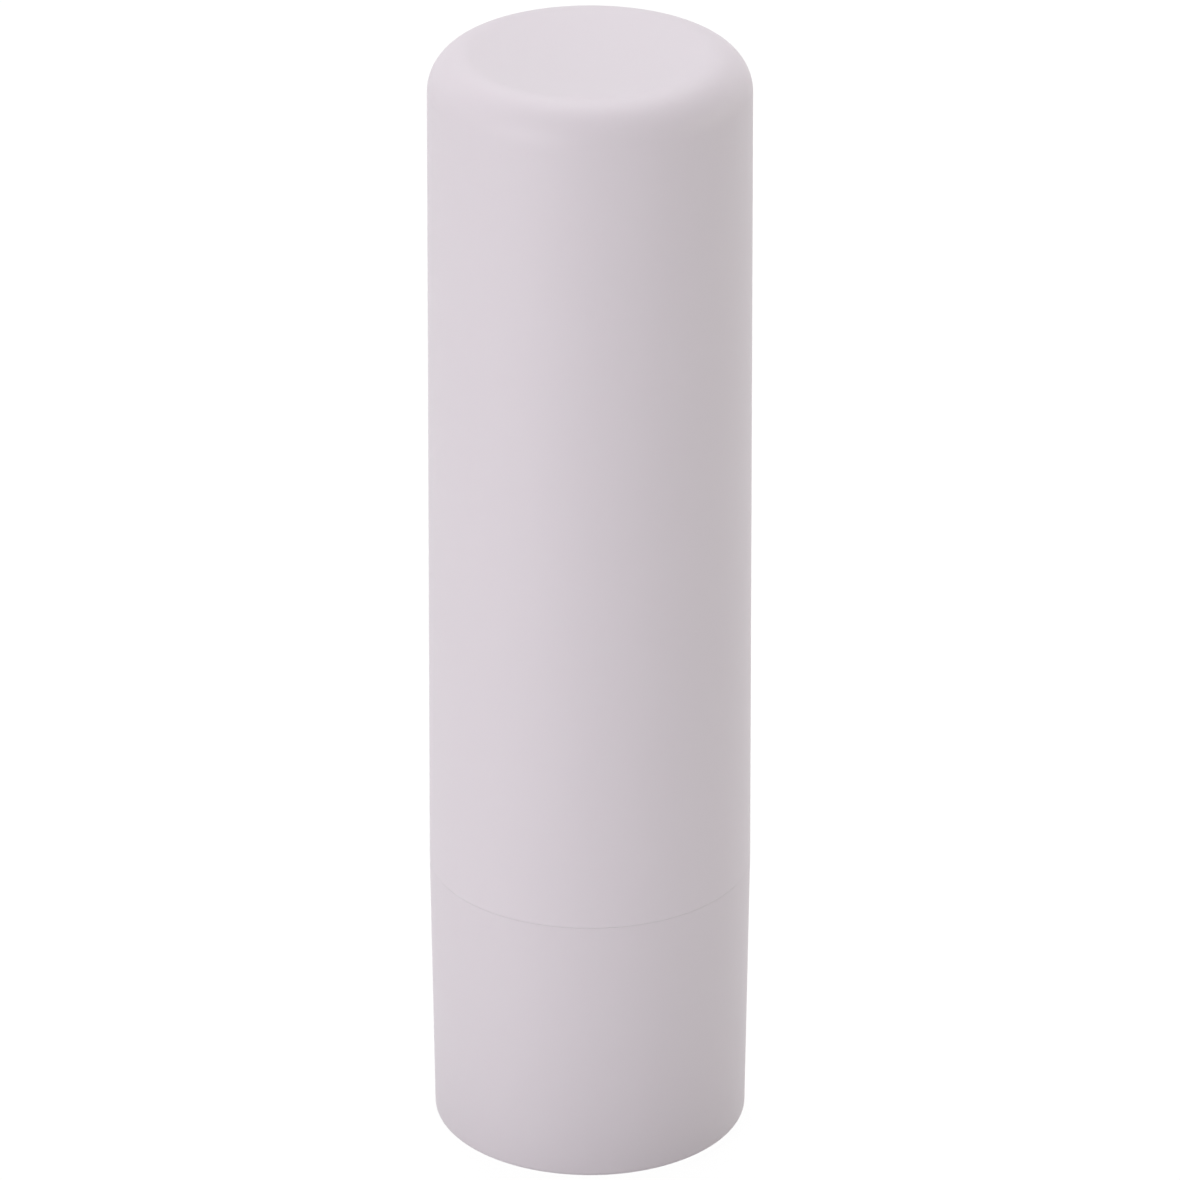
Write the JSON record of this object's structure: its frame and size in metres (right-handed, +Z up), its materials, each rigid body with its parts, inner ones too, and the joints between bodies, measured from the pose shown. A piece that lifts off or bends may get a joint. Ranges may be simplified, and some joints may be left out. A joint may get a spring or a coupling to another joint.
{
  "type": "lip balm stick",
  "caption": "Smooth round twist-up lip balm stick with a pull-off cap, a turning base, and balm raised on a screw inside a tube.",
  "frame": {"origin": "on the floor under the middle of the turning base", "axes": "+Z up along the stick's axis, towards the cap's closed end"},
  "size_m": [0.019, 0.019, 0.068],
  "materials": {
    "shell_plastic": "satin",
    "inner_plastic": "satin",
    "screw_plastic": "satin",
    "balm_wax": "satin"
  },
  "bodies": {
    "base": {"turning_base": "shell_plastic", "screw": "screw_plastic"},
    "tube": {"tube": "inner_plastic"},
    "carrier": {"carrier": "inner_plastic", "balm": "balm_wax"},
    "cap": {"cap": "shell_plastic"}
  },
  "joints": [
    {"name": "twist", "type": "hinge", "parent": "base", "child": "tube", "pos_m": [0, 0, 0], "axis": [0, 0, 1], "range_deg": [0, 2520]},
    {"name": "carrier_rise", "type": "slide", "parent": "tube", "child": "carrier", "axis": [0, 0, 1], "range_m": [0, 0.042]},
    {"name": "cap_lift", "type": "slide", "parent": "carrier", "child": "cap", "axis": [0, 0, 1], "range_m": [0, 0.055]}
  ],
  "couplings": [
    {"joint": "carrier_rise", "follows": "twist", "m_per_rad": 0.00095493}
  ]
}
